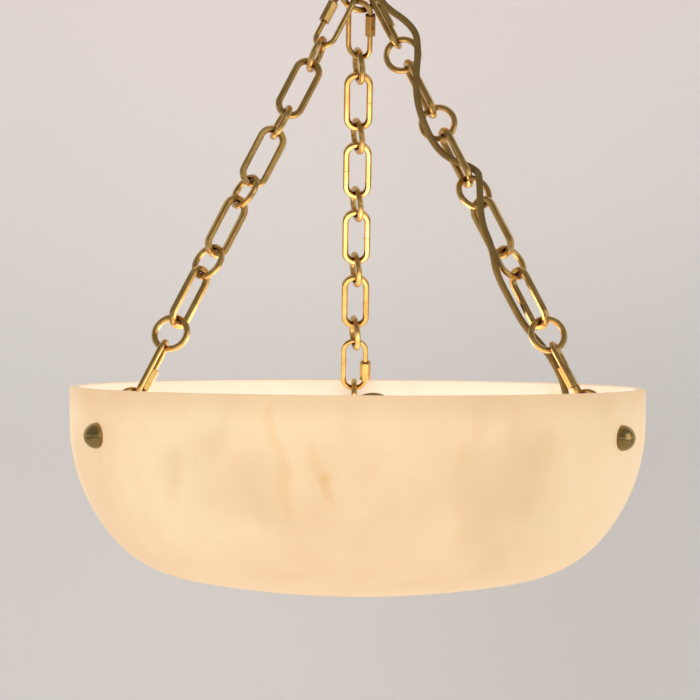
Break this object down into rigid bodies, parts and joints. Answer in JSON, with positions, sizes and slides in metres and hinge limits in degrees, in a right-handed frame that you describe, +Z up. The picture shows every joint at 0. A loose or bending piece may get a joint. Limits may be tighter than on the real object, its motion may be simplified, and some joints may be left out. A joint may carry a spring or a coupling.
{
  "type": "bowl pendant lamp",
  "caption": "Alabaster bowl pendant hung on three brass chains of long links and rings from one ceiling ring, with quick links, a weaving cord and an inner lamp unit.",
  "frame": {"origin": "centre of the ceiling crossbar on the ceiling plane", "axes": "+Z up into the ceiling, the lamp hangs towards -Z; -Y faces the viewer of the picture, with the two front chains at its left and right; +X to the right"},
  "size_m": [0.508, 0.5193, 0.637],
  "materials": {
    "alabaster": "polished translucent stone with cloudy veins",
    "aged_brass": "satin, lightly aged",
    "hub_metal": "satin",
    "zinc_steel": "zinc plated",
    "bulb_glass": "opal",
    "lampholder_plastic": "gloss",
    "cord_textile": "woven textile"
  },
  "bodies": {
    "ceiling": {"ceiling_crossbar": "zinc_steel", "ceiling_loop": "aged_brass"},
    "canopy": {"ceiling_canopy": "aged_brass", "canopy_gland": "aged_brass"},
    "collar": {"collar_nut": "aged_brass"},
    "hanging_ring": {"top_ring": "aged_brass"},
    "pendant": {"alabaster_bowl": "alabaster", "bolt_nuts": "aged_brass", "bracket_rings": "aged_brass", "dome_bolts": "aged_brass", "hanger_brackets": "aged_brass", "hub_gland": "aged_brass", "lamp_carrier": "hub_metal", "lamp_cord": "cord_textile", "lamp_hub": "hub_metal", "lampholders": "lampholder_plastic", "left_link_1": "aged_brass", "left_link_2": "aged_brass", "left_link_3": "aged_brass", "left_link_4": "aged_brass", "left_lower_quick_link": "aged_brass", "left_ring_a": "aged_brass", "left_ring_b": "aged_brass", "left_ring_c": "aged_brass", "left_ring_d": "aged_brass", "left_ring_e": "aged_brass", "left_top_quick_link": "aged_brass", "middle_link_1": "aged_brass", "middle_link_2": "aged_brass", "middle_link_3": "aged_brass", "middle_link_4": "aged_brass", "middle_lower_quick_link": "aged_brass", "middle_ring_a": "aged_brass", "middle_ring_b": "aged_brass", "middle_ring_c": "aged_brass", "middle_ring_d": "aged_brass", "middle_ring_e": "aged_brass", "middle_top_quick_link": "aged_brass", "right_link_1": "aged_brass", "right_link_2": "aged_brass", "right_link_3": "aged_brass", "right_link_4": "aged_brass", "right_lower_quick_link": "aged_brass", "right_ring_a": "aged_brass", "right_ring_b": "aged_brass", "right_ring_c": "aged_brass", "right_ring_d": "aged_brass", "right_ring_e": "aged_brass", "right_top_quick_link": "aged_brass", "wall_washers": "aged_brass"},
    "left_top_sleeve": {"left_top_sleeve": "aged_brass"},
    "left_lower_sleeve": {"left_lower_sleeve": "aged_brass"},
    "middle_top_sleeve": {"middle_top_sleeve": "aged_brass"},
    "middle_lower_sleeve": {"middle_lower_sleeve": "aged_brass"},
    "right_top_sleeve": {"right_top_sleeve": "aged_brass"},
    "right_lower_sleeve": {"right_lower_sleeve": "aged_brass"},
    "bulb_1": {"bulb_1": "bulb_glass"},
    "bulb_2": {"bulb_2": "bulb_glass"},
    "bulb_3": {"bulb_3": "bulb_glass"}
  },
  "joints": [
    {"name": "canopy_drop", "type": "slide", "parent": "ceiling", "child": "canopy", "axis": [0, 0, -1], "range_m": [0, 0.011], "deforming": ["lamp_cord"]},
    {"name": "collar_drop", "type": "slide", "parent": "ceiling", "child": "collar", "axis": [0, 0, -1], "range_m": [0, 0.011]},
    {"name": "ring_swing", "type": "hinge", "parent": "ceiling", "child": "hanging_ring", "pos_m": [0, 0, -0.0874], "axis": [-0.4695, 0.8829, 0], "range_deg": [-12, 12], "deforming": ["lamp_cord"]},
    {"name": "pendant_swing", "type": "hinge", "parent": "hanging_ring", "child": "pendant", "pos_m": [0, 0, -0.11404], "axis": [0.8829, 0.4695, 0], "range_deg": [-5, 5], "deforming": ["lamp_cord"]},
    {"name": "left_top_sleeve_run", "type": "slide", "parent": "pendant", "child": "left_top_sleeve", "axis": [-0.4336, -0.2518, -0.8652], "range_m": [0, 0.0133]},
    {"name": "left_lower_sleeve_run", "type": "slide", "parent": "pendant", "child": "left_lower_sleeve", "axis": [0.4336, 0.2518, 0.8652], "range_m": [0, 0.0133]},
    {"name": "middle_top_sleeve_run", "type": "slide", "parent": "pendant", "child": "middle_top_sleeve", "axis": [0, 0.5355, -0.8446], "range_m": [0, 0.0133]},
    {"name": "middle_lower_sleeve_run", "type": "slide", "parent": "pendant", "child": "middle_lower_sleeve", "axis": [0, -0.5355, 0.8446], "range_m": [0, 0.0133]},
    {"name": "right_top_sleeve_run", "type": "slide", "parent": "pendant", "child": "right_top_sleeve", "axis": [0.4284, -0.2836, -0.8579], "range_m": [0, 0.0133]},
    {"name": "right_lower_sleeve_run", "type": "slide", "parent": "pendant", "child": "right_lower_sleeve", "axis": [-0.4284, 0.2836, 0.8579], "range_m": [0, 0.0133]},
    {"name": "bulb_1_unscrew", "type": "slide", "parent": "pendant", "child": "bulb_1", "axis": [0, -1, 0], "range_m": [0, 0.025]},
    {"name": "bulb_2_unscrew", "type": "slide", "parent": "pendant", "child": "bulb_2", "axis": [0.866, 0.5, 0], "range_m": [0, 0.025]},
    {"name": "bulb_3_unscrew", "type": "slide", "parent": "pendant", "child": "bulb_3", "axis": [-0.866, 0.5, 0], "range_m": [0, 0.025]}
  ],
  "couplings": [
    {"joint": "collar_drop", "follows": "canopy_drop", "ratio": 1}
  ]
}
